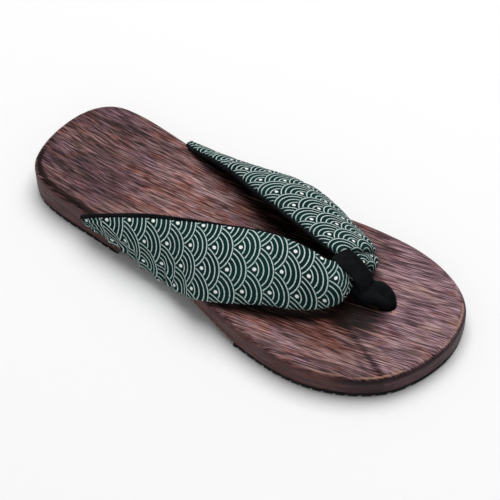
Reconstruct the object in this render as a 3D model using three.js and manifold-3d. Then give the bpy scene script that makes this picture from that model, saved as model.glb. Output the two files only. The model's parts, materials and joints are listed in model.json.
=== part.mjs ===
import * as THREE from 'three';
import { mergeVertices } from 'three/addons/utils/BufferGeometryUtils.js';
import Module from 'manifold-3d';

// A right-foot wooden sandal with low heel, sawn arch, padded V strap and toe thong.
// Millimetres. +X points to the toe, +Y to the wearer's left (the medial side), +Z up.
// The origin is on the floor, under the middle of the board.

const wasm = await Module();
wasm.setup();

// Driving dimensions of the board
const HEEL_BACK = -135;
const TOE_TIP = 135;
const TOE_TIP_Y = 10;
const RIM_MID_HEIGHT = 18.8;
const RIM_SLOPE = -0.0232;
const RIM_RADIUS = 4;
const FOOT_CHAMFER = 0.7;
const PAD_THICKNESS = 2.5;
const PAD_INSET = 0.5;
const HEEL_PAD_EDGE = -56.6;
const FOREFOOT_PAD_EDGE = 36.6;
const GAP = 0.3;
const BOARD_BOTTOM = PAD_THICKNESS + GAP;
const OUTLINE_POINTS = 112;
const RIM_STEPS = 3;
// Rings of the board's two faces, as shares of the way from the middle to the edge
const UNDERSIDE_SHARES = [0.08, 0.5, 0.86, 1];
const FOOTBED_SHARES = [0.95, 0.89, 0.81, 0.71, 0.59, 0.45, 0.29, 0.12];

// Half outline of the board, one row per section from heel to toe
const BOARD_SECTIONS = [
  { x: -133.4, medial: 16.5, lateral: -13.5 },
  { x: -130, medial: 26.5, lateral: -22.6 },
  { x: -124, medial: 35, lateral: -28.8 },
  { x: -115, medial: 40, lateral: -33 },
  { x: -100, medial: 42, lateral: -35.6 },
  { x: -80, medial: 41.2, lateral: -36.7 },
  { x: -60, medial: 39.4, lateral: -38 },
  { x: -40, medial: 37.4, lateral: -39 },
  { x: -22, medial: 36.6, lateral: -40.5 },
  { x: -5, medial: 37.8, lateral: -43.1 },
  { x: 12, medial: 41.6, lateral: -46.8 },
  { x: 30, medial: 47, lateral: -50.5 },
  { x: 48, medial: 50.7, lateral: -53 },
  { x: 66, medial: 53, lateral: -53.7 },
  { x: 82, medial: 53.7, lateral: -51.6 },
  { x: 98, medial: 52, lateral: -46 },
  { x: 112, medial: 47.6, lateral: -37.6 },
  { x: 122, medial: 41.8, lateral: -28 },
  { x: 129, medial: 34.4, lateral: -15.6 },
  { x: 133.4, medial: 23.4, lateral: -2 },
];

// Hollows carved in the footbed: centre, half lengths and depth
const HOLLOWS = [
  { x: -88, y: 2, length: 46, width: 33, depth: 3.2 },
  { x: 40, y: -1, length: 58, width: 44, depth: 2.6 },
  { x: -22, y: -2, length: 60, width: 30, depth: 1 },
];

// Underside of the arch, sawn right through from side to side
const ARCH_PROFILE = [
  { x: -56, z: 0 },
  { x: -54.5, z: 4 },
  { x: -51, z: 7.4 },
  { x: -44, z: 10.2 },
  { x: -34, z: 12.4 },
  { x: -24, z: 12.3 },
  { x: -12, z: 10.6 },
  { x: 0, z: 8.3 },
  { x: 14, z: 6 },
  { x: 28, z: 4 },
  { x: 36, z: 2.4 },
  { x: 36, z: 0 },
];
const ARCH_TURN = THREE.MathUtils.degToRad(3);
const CUTTER_LENGTH = 160;
const CUTTER_SPARE = 5;

// Toe thong: the hole and the path of the cloth tube from the hole to its loop
const HOLE = { x: 93, y: 10.5, radius: 5 };
const HOLE_SIDES = 24;
const THONG_STEM = [
  { x: 93, y: 10.5, z: 5, thick: 8.4, wide: 8.4 },
  { x: 93, y: 10.5, z: 13, thick: 8.8, wide: 8.8 },
  { x: 92.6, y: 10.4, z: 18.5, thick: 10, wide: 10.5 },
  { x: 90, y: 10, z: 23.2, thick: 12.4, wide: 15 },
  { x: 84.6, y: 9.4, z: 25.6, thick: 12.6, wide: 16 },
  { x: 79.6, y: 9.2, z: 29, thick: 11, wide: 15 },
  { x: 76, y: 9.4, z: 34, thick: 8, wide: 14 },
];
const THONG_LOOP = { x: 70.6, y: 7.8, z: 31, tilt: -42, halfLong: 9.4, halfHigh: 5, thick: 4.2, wide: 13 };
const THONG_SIDES = 14;
const STEM_STEPS_A_ROW = 3;
const LOOP_STEPS = 28;

// Padded band. One row per section from the rear tip of each arm to the fold under the thong.
// upper and lower are the two long edges, bulge is the crown outwards, tuck is the length that
// turns in under the board, thick is the padding.
const LATERAL_ARM = [
  { upper: [-81.5, -38.4, 17.4], lower: [-79.8, -38.6, 14.2], bulge: 0, tuck: 0.8, thick: 2 },
  { upper: [-72.5, -36.6, 22.4], lower: [-69.5, -39.1, 14.6], bulge: 0.8, tuck: 0.8, thick: 2.6 },
  { upper: [-61, -33, 27.2], lower: [-56.1, -40, 13], bulge: 1.8, tuck: 0.8, thick: 2.8 },
  { upper: [-49.7, -29.9, 32], lower: [-43.5, -40.6, 12.4], bulge: 2.8, tuck: 1.2, thick: 2.8 },
  { upper: [-39.1, -26.9, 35.8], lower: [-33.8, -41.6, 9.8], bulge: 3.4, tuck: 9, thick: 2.8 },
  { upper: [-25.5, -23.2, 39.5], lower: [-20, -42.6, 9.8], bulge: 4, tuck: 12, thick: 2.8 },
  { upper: [-11.8, -19, 42.5], lower: [-6, -45.4, 10.6], bulge: 4.4, tuck: 5, thick: 3.2 },
  { upper: [1.9, -14.9, 45.2], lower: [10.5, -48.6, 17.4], bulge: 4.6, tuck: 1, thick: 3.8 },
  { upper: [15.1, -10.7, 47.2], lower: [28, -42.2, 22], bulge: 4.6, tuck: 0.8, thick: 4 },
  { upper: [28.1, -6.6, 48.4], lower: [43, -33.4, 24.4], bulge: 4.6, tuck: 0.8, thick: 4 },
  { upper: [41.5, -3.4, 47.6], lower: [56.5, -25.8, 25.4], bulge: 4.6, tuck: 0.8, thick: 4.2 },
  { upper: [53, -1.6, 45.4], lower: [66.6, -19, 25.6], bulge: 4.8, tuck: 0.8, thick: 4.4 },
  { upper: [61, 0, 41.8], lower: [73.6, -9.4, 25.8], bulge: 4.4, tuck: 0.8, thick: 4.8 },
];
const MEDIAL_ARM = [
  { upper: [-69.5, 42.8, 17], lower: [-66, 42.4, 13.6], bulge: 0, tuck: 0.8, thick: 2 },
  { upper: [-62.5, 39.8, 20.6], lower: [-57, 41.8, 13], bulge: 0.8, tuck: 0.8, thick: 2.6 },
  { upper: [-54.5, 36.4, 24.4], lower: [-46.5, 40.6, 12.4], bulge: 1.8, tuck: 1.2, thick: 2.8 },
  { upper: [-44, 33, 28.4], lower: [-35.5, 39.4, 9.8], bulge: 3.2, tuck: 8, thick: 2.8 },
  { upper: [-32.4, 29.8, 31.6], lower: [-20.4, 38.6, 9.8], bulge: 6, tuck: 12, thick: 3 },
  { upper: [-19.6, 26.2, 34.2], lower: [-5, 41.4, 11], bulge: 8.4, tuck: 5, thick: 3.4 },
  { upper: [-6, 21.8, 36.4], lower: [8, 47, 17.4], bulge: 8.4, tuck: 1, thick: 3.8 },
  { upper: [7.2, 18.2, 38.4], lower: [22.4, 48.6, 21.8], bulge: 7.6, tuck: 0.8, thick: 4 },
  { upper: [19.4, 15.4, 40], lower: [36.4, 45, 23.4], bulge: 6.8, tuck: 0.8, thick: 4 },
  { upper: [31, 12.6, 41.2], lower: [50, 39.6, 24], bulge: 6, tuck: 0.8, thick: 4 },
  { upper: [42.6, 10, 42], lower: [62, 35.4, 24.4], bulge: 5.4, tuck: 0.8, thick: 4.2 },
  { upper: [52, 8, 42], lower: [71, 30.6, 24.6], bulge: 5, tuck: 0.8, thick: 4.4 },
  { upper: [59.6, 7.4, 40.2], lower: [76.4, 21, 24.4], bulge: 4.4, tuck: 0.8, thick: 4.8 },
];
// The fold of the band, gathered under the thong
const BAND_FOLD = { upper: [65, 6.6, 36.4], lower: [73.5, 7.6, 26], bulge: 1.4, tuck: 0.8, thick: 5.4 };
const BAND_STEPS = 68;
const ACROSS_STEPS = 9;
const TUCK_STEPS = 3;
const TUCK_SAG_SHARE = 0.3;
const TUCK_SAG_MOST = 1.6;
const EDGE_ROUNDING = 0.8;

const WOOD = new THREE.MeshStandardMaterial({ color: 0x5b4038, roughness: 0.72, metalness: 0 });
const RUBBER = new THREE.MeshStandardMaterial({ color: 0x1c1b1c, roughness: 0.85, metalness: 0 });
const PRINT = new THREE.MeshStandardMaterial({ color: 0x1f4a46, roughness: 0.9, metalness: 0 });
const BLACK_CLOTH = new THREE.MeshStandardMaterial({ color: 0x16181a, roughness: 0.95, metalness: 0 });

const group = new THREE.Group();

function addPiece(name, geometry, material) {
  const mesh = new THREE.Mesh(geometry, material);
  mesh.name = name;
  group.add(mesh);
}

// Closed surface through rings that all have the same number of points, closed by flat ends
function loft(rings) {
  const count = rings[0].length;
  const positions = [];
  for (const ring of rings) {
    for (const point of ring) positions.push(point.x, point.y, point.z);
  }
  const index = [];
  for (let row = 0; row + 1 < rings.length; row += 1) {
    for (let k = 0; k < count; k += 1) {
      const a = row * count + k;
      const b = row * count + ((k + 1) % count);
      index.push(a, b, b + count, a, b + count, a + count);
    }
  }
  for (const [row, first] of [[0, true], [rings.length - 1, false]]) {
    const ring = rings[row];
    const middle = new THREE.Vector3();
    for (const point of ring) middle.addScaledVector(point, 1 / count);
    const centre = positions.length / 3;
    positions.push(middle.x, middle.y, middle.z);
    for (let k = 0; k < count; k += 1) {
      const a = row * count + k;
      const b = row * count + ((k + 1) % count);
      if (first) index.push(centre, b, a);
      else index.push(centre, a, b);
    }
  }
  const geometry = new THREE.BufferGeometry();
  geometry.setAttribute('position', new THREE.Float32BufferAttribute(positions, 3));
  geometry.setIndex(index);
  return outward(geometry);
}

// Turns the triangles round where the surface encloses a negative volume
function outward(geometry) {
  const position = geometry.getAttribute('position');
  const index = geometry.getIndex().array;
  const a = new THREE.Vector3();
  const b = new THREE.Vector3();
  const c = new THREE.Vector3();
  let volume = 0;
  for (let t = 0; t < index.length; t += 3) {
    a.fromBufferAttribute(position, index[t]);
    b.fromBufferAttribute(position, index[t + 1]);
    c.fromBufferAttribute(position, index[t + 2]);
    volume += a.dot(b.cross(c));
  }
  if (volume < 0) {
    for (let t = 0; t < index.length; t += 3) {
      const swap = index[t];
      index[t] = index[t + 1];
      index[t + 1] = swap;
    }
  }
  return geometry;
}

function toSolid(source) {
  const geometry = source.clone();
  geometry.deleteAttribute('normal');
  geometry.deleteAttribute('uv');
  const merged = mergeVertices(geometry, 1e-4);
  return new wasm.Manifold(new wasm.Mesh({
    numProp: 3,
    vertProperties: Float32Array.from(merged.getAttribute('position').array),
    triVerts: Uint32Array.from(merged.getIndex().array),
  }));
}

function toGeometry(solid) {
  const mesh = solid.getMesh();
  const geometry = new THREE.BufferGeometry();
  geometry.setAttribute('position', new THREE.BufferAttribute(mesh.vertProperties, mesh.numProp));
  geometry.setIndex(new THREE.BufferAttribute(mesh.triVerts, 1));
  return geometry;
}

// Board outline, from the heel round the medial side to the toe and back
function outlineCurve() {
  const points = [new THREE.Vector3(HEEL_BACK, 1.5, 0)];
  for (const row of BOARD_SECTIONS) points.push(new THREE.Vector3(row.x, row.medial, 0));
  points.push(new THREE.Vector3(TOE_TIP, TOE_TIP_Y, 0));
  for (const row of [...BOARD_SECTIONS].reverse()) points.push(new THREE.Vector3(row.x, row.lateral, 0));
  return new THREE.CatmullRomCurve3(points, true, 'centripetal');
}

const OUTLINE = outlineCurve().getSpacedPoints(OUTLINE_POINTS).slice(0, OUTLINE_POINTS);

// The outline moved inwards by a distance along its own normals
function insetOutline(inset) {
  return OUTLINE.map((point, k) => {
    const before = OUTLINE[(k + OUTLINE_POINTS - 1) % OUTLINE_POINTS];
    const after = OUTLINE[(k + 1) % OUTLINE_POINTS];
    const along = new THREE.Vector3().subVectors(after, before).normalize();
    return new THREE.Vector3(point.x + along.y * inset, point.y - along.x * inset, 0);
  });
}

function rimHeight(x) {
  return RIM_MID_HEIGHT + RIM_SLOPE * x;
}

// Height of the footbed, with the carved hollows
function footbedHeight(x, y) {
  let height = rimHeight(x);
  for (const hollow of HOLLOWS) {
    const r2 = ((x - hollow.x) / hollow.length) ** 2 + ((y - hollow.y) / hollow.width) ** 2;
    if (r2 < 1) height -= hollow.depth * (1 - r2) ** 2;
  }
  return height;
}

// The uncut board. A positive grow gives the same form swollen on every side
function boardGeometry(grow) {
  const ring = (inset, share, height) => insetOutline(inset - grow).map((point) => {
    const x = point.x * share;
    const y = point.y * share;
    return new THREE.Vector3(x, y, height(x, y));
  });
  const rings = [];
  const underside = () => BOARD_BOTTOM - grow;
  for (const share of UNDERSIDE_SHARES) rings.push(ring(FOOT_CHAMFER, share, underside));
  rings.push(ring(0, 1, () => BOARD_BOTTOM + FOOT_CHAMFER));
  for (let k = 0; k <= RIM_STEPS; k += 1) {
    const turn = (k / RIM_STEPS) * (Math.PI / 2);
    const inset = RIM_RADIUS * (1 - Math.cos(turn));
    const drop = RIM_RADIUS * (1 - Math.sin(turn));
    rings.push(ring(inset, 1, (x) => rimHeight(x) - drop + grow));
  }
  for (const share of FOOTBED_SHARES) {
    rings.push(ring(RIM_RADIUS, share, (x, y) => footbedHeight(x, y) + grow));
  }
  return loft(rings);
}

function archCutter(grow) {
  const shape = new THREE.Shape();
  shape.moveTo(ARCH_PROFILE[0].x, -CUTTER_SPARE);
  for (const row of ARCH_PROFILE) shape.lineTo(row.x, row.z);
  shape.lineTo(ARCH_PROFILE[ARCH_PROFILE.length - 1].x, -CUTTER_SPARE);
  const geometry = new THREE.ExtrudeGeometry(shape, { depth: CUTTER_LENGTH, bevelEnabled: false });
  geometry.translate(0, 0, -CUTTER_LENGTH / 2);
  geometry.rotateX(Math.PI / 2);
  geometry.rotateZ(-ARCH_TURN);
  geometry.translate(0, 0, -grow);
  return geometry;
}

function holeCutter() {
  const geometry = new THREE.CylinderGeometry(HOLE.radius, HOLE.radius, CUTTER_LENGTH, HOLE_SIDES);
  geometry.rotateX(Math.PI / 2);
  geometry.translate(HOLE.x, HOLE.y, 0);
  return geometry;
}

function soleBoard() {
  const solid = toSolid(boardGeometry(0)).subtract(toSolid(archCutter(0))).subtract(toSolid(holeCutter()));
  return toGeometry(solid);
}

// Rubber sheet under the part of the outline that lies on one side of the arch.
// side is -1 for the heel and 1 for the forefoot.
function pad(side, edgeX) {
  const slant = Math.tan(ARCH_TURN);
  const onSide = (point) => side * (point.x - point.y * slant - edgeX) > 0;
  const points = insetOutline(PAD_INSET);
  const start = points.findIndex((point, k) => {
    const before = points[(k + OUTLINE_POINTS - 1) % OUTLINE_POINTS];
    return onSide(point) && !onSide(before);
  });
  const ordered = [...points.slice(start), ...points.slice(0, start)].filter(onSide);
  const onEdge = (y) => new THREE.Vector3(edgeX + y * slant, y, 0);
  ordered.unshift(onEdge(ordered[0].y));
  ordered.push(onEdge(ordered[ordered.length - 1].y));
  const shape = new THREE.Shape(ordered.map((point) => new THREE.Vector2(point.x, point.y)));
  return new THREE.ExtrudeGeometry(shape, { depth: PAD_THICKNESS, bevelEnabled: false });
}

// All rows of the band in one line, from the lateral tip over the fold to the medial tip
const BAND_ROWS = [...LATERAL_ARM, BAND_FOLD, ...[...MEDIAL_ARM].reverse()];

function bandCurve(pick) {
  const points = BAND_ROWS.map((row) => new THREE.Vector3(...pick(row)));
  return new THREE.CatmullRomCurve3(points, false, 'centripetal');
}

function bandValue(name, t) {
  const place = t * (BAND_ROWS.length - 1);
  const row = Math.min(Math.floor(place), BAND_ROWS.length - 2);
  return THREE.MathUtils.lerp(BAND_ROWS[row][name], BAND_ROWS[row + 1][name], place - row);
}

// Middle line across the band at one place along it: the crowned face, then the part tucked under
function bandLine(top, bottom, along, t) {
  const across = new THREE.Vector3().subVectors(bottom, top);
  const outwards = new THREE.Vector3().crossVectors(across, along).normalize();
  const line = [];
  for (let k = 0; k <= ACROSS_STEPS; k += 1) {
    const v = k / ACROSS_STEPS;
    const crown = bandValue('bulge', t) * 4 * v * (1 - v);
    line.push(top.clone().addScaledVector(across, v).addScaledVector(outwards, crown));
  }
  const tuck = bandValue('tuck', t);
  const inward = bottom.y < BAND_FOLD.lower[1] ? 1 : -1;
  const sag = Math.min(TUCK_SAG_MOST, tuck * TUCK_SAG_SHARE);
  for (let k = 1; k <= TUCK_STEPS; k += 1) {
    const share = k / TUCK_STEPS;
    const step = new THREE.Vector3(0, inward * tuck * share, -sag * Math.sin(Math.PI * share));
    line.push(bottom.clone().add(step));
  }
  return line;
}

function strapGeometry() {
  const upper = bandCurve((row) => row.upper);
  const lower = bandCurve((row) => row.lower);
  const rings = [];
  for (let s = 0; s <= BAND_STEPS; s += 1) {
    const t = s / BAND_STEPS;
    const along = upper.getTangent(t).add(lower.getTangent(t)).normalize();
    const line = bandLine(upper.getPoint(t), lower.getPoint(t), along, t);
    rings.push(thicken(line, along, bandValue('thick', t)));
  }
  return loft(rings);
}

function thongSolid(grow) {
  return toSolid(thongStem(grow)).add(toSolid(thongLoop(grow)));
}

// The band, cut clear of the board and the thong that it lies against
function strap() {
  const swollenBoard = toSolid(boardGeometry(GAP)).subtract(toSolid(archCutter(GAP)));
  return toGeometry(toSolid(strapGeometry()).subtract(swollenBoard).subtract(thongSolid(GAP)));
}

// Closed ring round one cross line of the band: outer face, edge, inner face, edge
function thicken(line, along, thick) {
  const last = line.length - 1;
  const normals = line.map((point, k) => {
    const before = line[Math.max(0, k - 1)];
    const after = line[Math.min(last, k + 1)];
    return new THREE.Vector3().subVectors(after, before).cross(along).normalize();
  });
  const half = thick / 2;
  const beyond = (from, to) => {
    const way = new THREE.Vector3().subVectors(line[from], line[to]).normalize();
    return line[from].clone().addScaledVector(way, half * EDGE_ROUNDING);
  };
  const outer = line.map((point, k) => point.clone().addScaledVector(normals[k], half));
  const inner = line.map((point, k) => point.clone().addScaledVector(normals[k], -half));
  return [beyond(0, 1), ...outer, beyond(last, last - 1), ...inner.reverse()];
}

// Ring of the thong's flattened tube: wide across the shoe, thick the other way
function tubeRing(centre, along, wide, thick) {
  const side = new THREE.Vector3(0, 1, 0);
  side.addScaledVector(along, -side.dot(along)).normalize();
  const up = new THREE.Vector3().crossVectors(along, side).normalize();
  const ring = [];
  for (let k = 0; k < THONG_SIDES; k += 1) {
    const turn = (k / THONG_SIDES) * Math.PI * 2;
    const point = centre.clone().addScaledVector(side, (wide / 2) * Math.cos(turn));
    ring.push(point.addScaledVector(up, (thick / 2) * Math.sin(turn)));
  }
  return ring;
}

function thongStem(grow) {
  const centres = THONG_STEM.map((row) => new THREE.Vector3(row.x, row.y, row.z));
  const curve = new THREE.CatmullRomCurve3(centres, false, 'centripetal');
  const spans = THONG_STEM.length - 1;
  const steps = spans * STEM_STEPS_A_ROW;
  const rings = [];
  for (let s = 0; s <= steps; s += 1) {
    const t = s / steps;
    const row = Math.min(Math.floor(t * spans), spans - 1);
    const share = t * spans - row;
    const size = (name) => THREE.MathUtils.lerp(THONG_STEM[row][name], THONG_STEM[row + 1][name], share);
    const wide = size('wide') + grow * 2;
    const thick = size('thick') + grow * 2;
    rings.push(tubeRing(curve.getPoint(t), curve.getTangent(t), wide, thick));
  }
  return loft(rings);
}

// Ring of cloth round the fold of the band
function thongLoop(grow) {
  const tilt = THREE.MathUtils.degToRad(THONG_LOOP.tilt);
  const long = THONG_LOOP.halfLong + THONG_LOOP.thick / 2;
  const high = THONG_LOOP.halfHigh + THONG_LOOP.thick / 2;
  const middle = new THREE.Vector3(THONG_LOOP.x, THONG_LOOP.y, THONG_LOOP.z);
  const lean = (u, w) => {
    const x = u * Math.cos(tilt) - w * Math.sin(tilt);
    const z = u * Math.sin(tilt) + w * Math.cos(tilt);
    return new THREE.Vector3(x, 0, z);
  };
  const rings = [];
  for (let s = 0; s < LOOP_STEPS; s += 1) {
    const turn = (s / LOOP_STEPS) * Math.PI * 2;
    const centre = lean(long * Math.cos(turn), high * Math.sin(turn)).add(middle);
    const along = lean(-long * Math.sin(turn), high * Math.cos(turn)).normalize();
    rings.push(tubeRing(centre, along, THONG_LOOP.wide + grow * 2, THONG_LOOP.thick + grow * 2));
  }
  return closedLoft(rings);
}

// Closed surface through rings whose last ring joins the first
function closedLoft(rings) {
  const count = rings[0].length;
  const positions = [];
  for (const ring of rings) {
    for (const point of ring) positions.push(point.x, point.y, point.z);
  }
  const index = [];
  for (let row = 0; row < rings.length; row += 1) {
    const next = (row + 1) % rings.length;
    for (let k = 0; k < count; k += 1) {
      const k2 = (k + 1) % count;
      index.push(row * count + k, row * count + k2, next * count + k2);
      index.push(row * count + k, next * count + k2, next * count + k);
    }
  }
  const geometry = new THREE.BufferGeometry();
  geometry.setAttribute('position', new THREE.Float32BufferAttribute(positions, 3));
  geometry.setIndex(index);
  return outward(geometry);
}

addPiece('sole_board', soleBoard(), WOOD);
addPiece('heel_pad', pad(-1, HEEL_PAD_EDGE), RUBBER);
addPiece('forefoot_pad', pad(1, FOREFOOT_PAD_EDGE), RUBBER);
addPiece('strap', strap(), PRINT);
addPiece('toe_thong', toGeometry(thongSolid(0)), BLACK_CLOTH);

export default group;
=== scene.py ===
"""A right-foot wooden sandal: burnt and brushed board, rubber sheets, padded printed band, toe thong."""
import json
import math

import bmesh
import bpy
import numpy as np
from mathutils import Matrix, Vector
from mathutils.bvhtree import BVHTree

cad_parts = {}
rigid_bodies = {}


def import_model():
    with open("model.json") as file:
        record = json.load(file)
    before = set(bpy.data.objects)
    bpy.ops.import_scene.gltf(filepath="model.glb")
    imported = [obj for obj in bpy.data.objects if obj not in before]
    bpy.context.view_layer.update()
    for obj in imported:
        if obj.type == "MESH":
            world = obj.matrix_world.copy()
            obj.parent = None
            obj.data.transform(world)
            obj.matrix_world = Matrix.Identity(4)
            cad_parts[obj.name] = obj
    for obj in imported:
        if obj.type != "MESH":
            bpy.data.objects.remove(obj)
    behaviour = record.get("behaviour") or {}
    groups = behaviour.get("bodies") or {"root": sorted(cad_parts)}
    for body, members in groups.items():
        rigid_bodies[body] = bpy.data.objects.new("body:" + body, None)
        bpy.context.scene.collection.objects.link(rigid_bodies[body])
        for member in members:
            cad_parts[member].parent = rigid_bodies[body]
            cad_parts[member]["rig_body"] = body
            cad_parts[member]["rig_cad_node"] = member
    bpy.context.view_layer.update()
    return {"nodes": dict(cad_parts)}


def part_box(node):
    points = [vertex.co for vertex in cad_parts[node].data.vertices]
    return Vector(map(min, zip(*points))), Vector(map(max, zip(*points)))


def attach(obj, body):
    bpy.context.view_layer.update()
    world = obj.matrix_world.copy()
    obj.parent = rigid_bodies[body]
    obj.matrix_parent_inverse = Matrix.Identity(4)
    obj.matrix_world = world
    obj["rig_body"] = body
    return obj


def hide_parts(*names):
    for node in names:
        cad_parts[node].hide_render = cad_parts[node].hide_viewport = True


MM = 0.001

# Board, in millimetres
HEEL_BACK = -135.0
TOE_TIP = 135.0
HEEL_BACK_Y = 1.5
TOE_TIP_Y = 10.0
RIM_MID_HEIGHT = 18.8
RIM_SLOPE = -0.0232
RIM_RADIUS = 4.0
FOOT_CHAMFER = 0.7
BOARD_BOTTOM = 2.8
OUTLINE_POINTS = 320
BOARD_VOXEL = 0.95
BOARD_SECTIONS = [  # x, medial, lateral
    (-133.4, 16.5, -13.5), (-130, 26.5, -22.6), (-124, 35, -28.8), (-115, 40, -33),
    (-100, 42, -35.6), (-80, 41.2, -36.7), (-60, 39.4, -38), (-40, 37.4, -39),
    (-22, 36.6, -40.5), (-5, 37.8, -43.1), (12, 41.6, -46.8), (30, 47, -50.5),
    (48, 50.7, -53), (66, 53, -53.7), (82, 53.7, -51.6), (98, 52, -46),
    (112, 47.6, -37.6), (122, 41.8, -28), (129, 34.4, -15.6), (133.4, 23.4, -2),
]
HOLLOWS = [  # x, y, half length, half width, depth
    (-88, 2, 46, 33, 3.2), (40, -1, 58, 44, 2.6), (-22, -2, 60, 30, 1.0),
]
ARCH_PROFILE = [  # x, height of the wood's underside
    (-56, 0), (-54.5, 4), (-51, 7.4), (-44, 10.2), (-34, 12.4), (-24, 12.3),
    (-12, 10.6), (0, 8.3), (14, 6), (28, 4), (36, 2.4), (36.2, 0),
]
ARCH_TURN = math.radians(3)
HOLE_X, HOLE_Y, HOLE_RADIUS = 93.0, 10.5, 5.0
# Line on the footbed where the forefoot dish ends and the paler toe begins, and the depth of the step there
TOE_LINE_FROM = (81.0, -13.5)
TOE_LINE_TO = (116.5, -30.0)
TOE_STEP = 0.8
# Only the wood above this height sinks with the hollows
SINKS_ABOVE = 13.0
# Grain: its lean to the medial side, and its bend, which grows away from a place in the heel
GRAIN_LEAN = 0.03
GRAIN_BEND = 0.0006
GRAIN_BEND_FROM = -90
# Patches of the footbed: centre, and half length and half width
DISH_PATCH = ((56, -8), (36, 28))
WAIST_PATCH = ((-36, 2), (40, 26))
# The dark patch beside the thong is char, and painted shade of the thong and band
DARK_BESIDE_THONG = ((HOLE_X - 8, HOLE_Y - 16), (13, 11))
WEAR_AT_HOLE = ((HOLE_X + 6.5, HOLE_Y - 3), (1.6, 2.2))

# Band: upper edge, lower edge, crown, length tucked under the board, thickness
LATERAL_ARM = [
    ((-81.5, -38.4, 17.4), (-79.8, -38.6, 14.2), 0, 0.8, 2),
    ((-72.5, -36.6, 22.4), (-69.5, -39.1, 14.6), 0.8, 0.8, 2.6),
    ((-61, -33, 27.2), (-56.1, -40, 13), 1.8, 0.8, 2.8),
    ((-49.7, -29.9, 32), (-43.5, -40.6, 12.4), 2.8, 1.2, 2.8),
    ((-39.1, -26.9, 35.8), (-33.8, -41.6, 9.8), 3.4, 9, 2.8),
    ((-25.5, -23.2, 39.5), (-20, -42.6, 9.8), 4, 12, 2.8),
    ((-11.8, -19, 42.5), (-7.5, -44.8, 12), 4.4, 4.4, 3.2),
    ((1.9, -14.9, 45.2), (8, -46.6, 19), 4.6, 1, 3.8),
    ((15.1, -10.7, 47.2), (26.4, -40.8, 24), 4.6, 0.8, 4),
    ((28.1, -6.6, 48.4), (42.4, -32.4, 25.6), 4.6, 0.8, 4),
    ((41.5, -3.4, 47.6), (56.5, -25.8, 25.4), 4.6, 0.8, 4.2),
    ((53, -1.6, 45.4), (66.6, -19, 25.6), 4.8, 0.8, 4.4),
    ((61, 0, 41.8), (73.6, -9.4, 25.8), 4.4, 0.8, 4.8),
]
BAND_FOLD = ((65, 6.6, 36.4), (73.5, 7.6, 26), 1.4, 0.8, 5.4)
MEDIAL_ARM = [
    ((-66, 39.2, 19.6), (-67, 43, 14), 1.2, 0.8, 2),
    ((-61.5, 37, 21.4), (-58.5, 42.2, 13), 2.6, 0.8, 2.6),
    ((-54.5, 34.8, 24), (-47.5, 41, 12), 4.2, 1.2, 2.8),
    ((-44, 32.6, 28), (-35.5, 39.4, 9.8), 6.2, 8, 2.8),
    ((-32.4, 29.8, 31.4), (-20.4, 38.6, 9.8), 8.4, 12, 3),
    ((-19.6, 26.2, 34.2), (-5, 41.4, 11), 9.6, 5, 3.4),
    ((-6, 21.8, 36.4), (8, 47, 17.4), 8.4, 1, 3.8),
    ((7.2, 18.2, 38.4), (22.4, 48.6, 21.8), 7.6, 0.8, 4),
    ((19.4, 15.4, 40), (36.4, 45, 23.4), 6.8, 0.8, 4),
    ((31, 12.6, 41.2), (50, 39.6, 24), 6, 0.8, 4),
    ((42.6, 10, 42), (62, 35.4, 24.4), 5.4, 0.8, 4.2),
    ((52, 8, 42), (71, 30.6, 24.6), 5, 0.8, 4.4),
    ((59.6, 7.4, 40.2), (76.4, 21, 24.4), 4.4, 0.8, 4.8),
]
BAND_ROWS = [*LATERAL_ARM, BAND_FOLD, *reversed(MEDIAL_ARM)]
UPPER, LOWER, BULGE, TUCK, THICK = range(5)
BAND_STEPS = 440
FACE_STEPS = 40
TUCK_STEPS = 12
FOLD_PLACE = 0.5
# Creases of the medial arm beside the thong: place past the fold, slope down the band, half width
CREASES = ((0.026, 0.05, 0.0065), (0.01, 0.024, 0.004))
CREASE_DEPTH = 1.8
# How far the band's two faces keep off the board, and the height above which neither comes near it
OUTER_CLEARANCE = 1.3
INNER_CLEARANCE = 0.25
ABOVE_BOARD = 26

# Print: one scale is a disc of radius 1, in columns that stand this far apart
PRINT_COLUMN = 0.855
PRINT_RINGS = (0.405, 0.59, 0.785, 0.95)
PRINT_LINE = 0.0225
PRINT_DOT_AHEAD = 0.25
PRINT_DOT = 0.075
# On each arm, in millimetres: a scale's length and width, the lean of the rows and where down the cloth
# it is nothing, and where a column's middle lies. The shift along the arm is in scales
LATERAL_PRINT = {
    "long": 15.5, "wide": 12.15, "lean": -0.136, "turn_at": 14.5, "column_at": 14.6, "shift": 0.09,
}
MEDIAL_PRINT = {
    "long": 14.6, "wide": 9.8, "lean": 0.26, "turn_at": 7, "column_at": 7, "shift": -0.405,
}
# The lateral arm's columns bend ahead of a place
PRINT_BEND_FROM = -12
PRINT_BEND = (0.13, 0.0011)
# Millimetres of cloth to a scale, for its weave and wear, and between the threads of the weave
CLOTH_SCALE = 15.4
WEAVE_PITCH = 0.62

# Toe thong: path of the cloth tube from the hole up to its loop: place, thickness, width
THONG_STEM = [
    ((92.8, 10.8, 5), 8.4, 8.4), ((92.8, 10.8, 13.5), 8.8, 9.2), ((91.8, 11, 19.6), 9.6, 12.6),
    ((87.6, 9.6, 22.2), 11, 15), ((82, 7.8, 22.6), 11, 14.8), ((77.6, 7.4, 25.6), 9, 13.4),
    ((75, 7.8, 31), 7, 12.4),
]
THONG_LOOP = {"x": 71.4, "y": 7.6, "z": 30, "tilt": -48, "long": 10.4, "high": 5, "thick": 4.2, "wide": 13.4}

# Camera, fitted to the photo's view of this shoe, and aimed at its middle
CAMERA_PLACE = (0.4322, -0.5456, 0.8636)
CAMERA_AIM = (0.0088, -0.0011, 0.015)
CAMERA_ROLL = math.radians(-2.03)
CAMERA_LENS = 140.9
SENSOR_WIDTH = 36.0


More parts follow.
